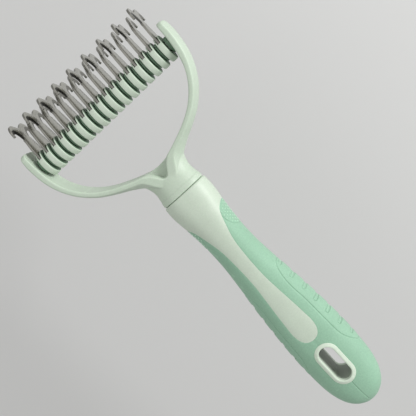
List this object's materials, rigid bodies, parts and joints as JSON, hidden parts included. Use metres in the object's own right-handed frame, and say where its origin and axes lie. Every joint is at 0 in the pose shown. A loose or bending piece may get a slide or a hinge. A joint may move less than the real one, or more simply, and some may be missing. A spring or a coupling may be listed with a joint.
{
  "type": "dematting comb",
  "caption": "Two-sided dematting comb: a bar of hooked steel blades in round plastic carriers, held by a Y-shaped yoke on a two-tone soft-grip handle with a hanging slot.",
  "frame": {"origin": "middle of the box's bottom face: the comb lies on its back, so this is the plane that its back hooks and the handle rest on", "axes": "+Z to the comb's front (the side with fewer hooks), +Y along the handle from the teeth to the hanging slot, X along the tooth bar"},
  "size_m": [0.092, 0.2032, 0.022],
  "materials": {
    "sage_plastic": "satin moulded plastic, pale sage green",
    "spacer_plastic": "satin moulded plastic, darker sage green",
    "mint_grip": "matte soft-touch moulded grip, mint green",
    "blade_steel": "stamped stainless steel, satin, ground cutting edges",
    "bar_steel": "drawn steel"
  },
  "bodies": {
    "root": {"axle_bar": "bar_steel", "blade_01": "blade_steel", "blade_02": "blade_steel", "blade_03": "blade_steel", "blade_04": "blade_steel", "blade_05": "blade_steel", "blade_06": "blade_steel", "blade_07": "blade_steel", "blade_08": "blade_steel", "blade_09": "blade_steel", "blade_10": "blade_steel", "blade_11": "blade_steel", "blade_12": "blade_steel", "blade_13": "blade_steel", "blade_14": "blade_steel", "blade_15": "blade_steel", "blade_16": "blade_steel", "blade_17": "blade_steel", "blade_carrier_01": "sage_plastic", "blade_carrier_02": "sage_plastic", "blade_carrier_03": "sage_plastic", "blade_carrier_04": "sage_plastic", "blade_carrier_05": "sage_plastic", "blade_carrier_06": "sage_plastic", "blade_carrier_07": "sage_plastic", "blade_carrier_08": "sage_plastic", "blade_carrier_09": "sage_plastic", "blade_carrier_10": "sage_plastic", "blade_carrier_11": "sage_plastic", "blade_carrier_12": "sage_plastic", "blade_carrier_13": "sage_plastic", "blade_carrier_14": "sage_plastic", "blade_carrier_15": "sage_plastic", "blade_carrier_16": "sage_plastic", "blade_carrier_17": "sage_plastic", "end_spacer_left": "spacer_plastic", "end_spacer_right": "spacer_plastic", "grip_sleeve": "mint_grip", "handle_core": "sage_plastic", "neck_pin": "bar_steel", "spacer_01": "spacer_plastic", "spacer_02": "spacer_plastic", "spacer_03": "spacer_plastic", "spacer_04": "spacer_plastic", "spacer_05": "spacer_plastic", "spacer_06": "spacer_plastic", "spacer_07": "spacer_plastic", "spacer_08": "spacer_plastic", "spacer_09": "spacer_plastic", "spacer_10": "spacer_plastic", "spacer_11": "spacer_plastic", "spacer_12": "spacer_plastic", "spacer_13": "spacer_plastic", "spacer_14": "spacer_plastic", "spacer_15": "spacer_plastic", "spacer_16": "spacer_plastic", "yoke_frame": "sage_plastic"}
  },
  "joints": []
}
